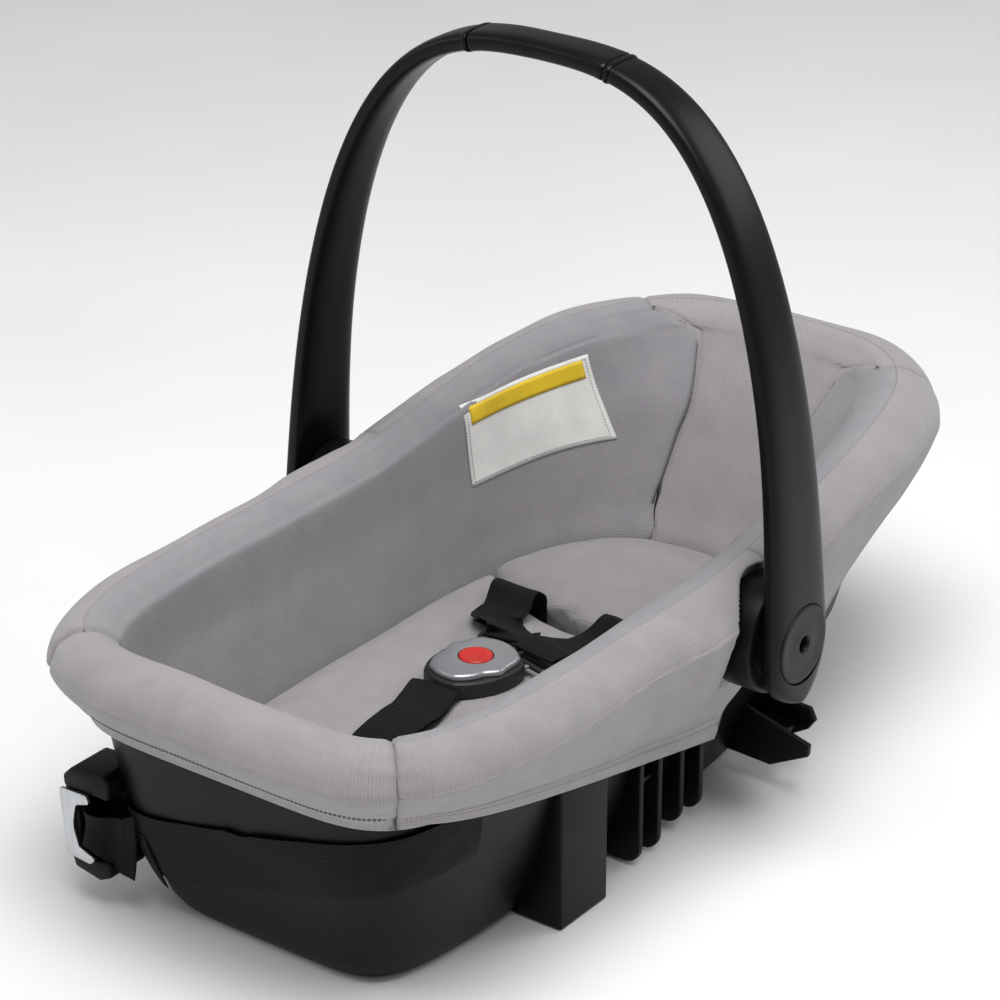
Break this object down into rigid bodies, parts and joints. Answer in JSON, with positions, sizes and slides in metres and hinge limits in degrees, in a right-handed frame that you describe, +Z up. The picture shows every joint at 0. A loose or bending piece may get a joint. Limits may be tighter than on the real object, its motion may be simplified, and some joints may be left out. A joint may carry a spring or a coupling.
{
  "type": "infant car seat",
  "caption": "Flat infant car bed carrier: plastic tub with padded fabric cover, harness, buckle and a folding arched carry handle.",
  "frame": {"origin": "point on the flat underside, midway between and directly below the handle pivots", "axes": "+Z up, +Y towards the head end, +X to the right-hand side; the handle pivots about X"},
  "size_m": [0.4298, 0.7313, 0.5434],
  "materials": {
    "shell_plastic": "fine-textured black polypropylene",
    "handle_plastic": "satin black",
    "nylon": "moulded nylon",
    "silver_plastic": "silver-painted plastic",
    "red_plastic": "semi-gloss",
    "grey_fabric": "warm light grey woven polyester",
    "dark_fabric": "dark grey knit",
    "webbing": "black woven webbing",
    "foam": "expanded polystyrene",
    "steel": "zinc-plated"
  },
  "bodies": {
    "seat": {"shell": "shell_plastic", "foam_liner": "foam", "cover_foot": "grey_fabric", "cover_side_right": "grey_fabric", "cover_side_left": "grey_fabric", "cover_head": "grey_fabric", "lining_head": "grey_fabric", "lining_foot": "grey_fabric", "seat_pad": "grey_fabric", "back_pad": "grey_fabric", "lining_right": "dark_fabric", "lining_left": "dark_fabric", "handle_hub_right": "shell_plastic", "lock_ring_right": "nylon", "lock_spring_right": "steel", "pivot_screw_right": "steel", "shoulder_strap_right": "webbing", "tongue_right": "nylon", "anchor_plate_right": "steel", "handle_hub_left": "shell_plastic", "lock_ring_left": "nylon", "lock_spring_left": "steel", "pivot_screw_left": "steel", "shoulder_strap_left": "webbing", "tongue_left": "nylon", "anchor_plate_left": "steel", "crotch_strap": "webbing", "anchor_plate_crotch": "steel", "buckle_body": "nylon", "buckle_cover": "silver_plastic", "buckle_spring": "steel", "belt_lock": "shell_plastic", "belt_lock_plate": "steel", "foot_belt": "webbing"},
    "handle": {"handle_arm_right": "handle_plastic", "handle_arm_left": "handle_plastic", "grip_collar_right": "handle_plastic", "grip_collar_left": "handle_plastic", "handle_grip": "handle_plastic"},
    "release_right": {"release_button_right": "handle_plastic"},
    "release_left": {"release_button_left": "handle_plastic"},
    "gear_right": {"lock_gear_right": "nylon"},
    "gear_left": {"lock_gear_left": "nylon"},
    "buckle_press": {"buckle_button": "red_plastic"}
  },
  "joints": [
    {"name": "handle_fold", "type": "hinge", "parent": "seat", "child": "handle", "pos_m": [0, 0, 0.16], "axis": [1, 0, 0], "range_deg": [-60, 60]},
    {"name": "release_right", "type": "slide", "parent": "handle", "child": "release_right", "axis": [-1, 0, 0], "range_m": [0, 0.0044], "stiffness_N_per_m": 600, "springref_m": -0.003},
    {"name": "gear_right", "type": "slide", "parent": "seat", "child": "gear_right", "axis": [-1, 0, 0], "range_m": [0, 0.0044]},
    {"name": "release_left", "type": "slide", "parent": "handle", "child": "release_left", "axis": [1, 0, 0], "range_m": [0, 0.0044], "stiffness_N_per_m": 600, "springref_m": -0.003},
    {"name": "gear_left", "type": "slide", "parent": "seat", "child": "gear_left", "axis": [1, 0, 0], "range_m": [0, 0.0044]},
    {"name": "buckle_press", "type": "slide", "parent": "seat", "child": "buckle_press", "axis": [0, 0, -1], "range_m": [0, 0.003], "stiffness_N_per_m": 800, "springref_m": -0.003}
  ],
  "couplings": [
    {"joint": "gear_right", "follows": "release_right", "ratio": 1},
    {"joint": "gear_left", "follows": "release_left", "ratio": 1}
  ]
}
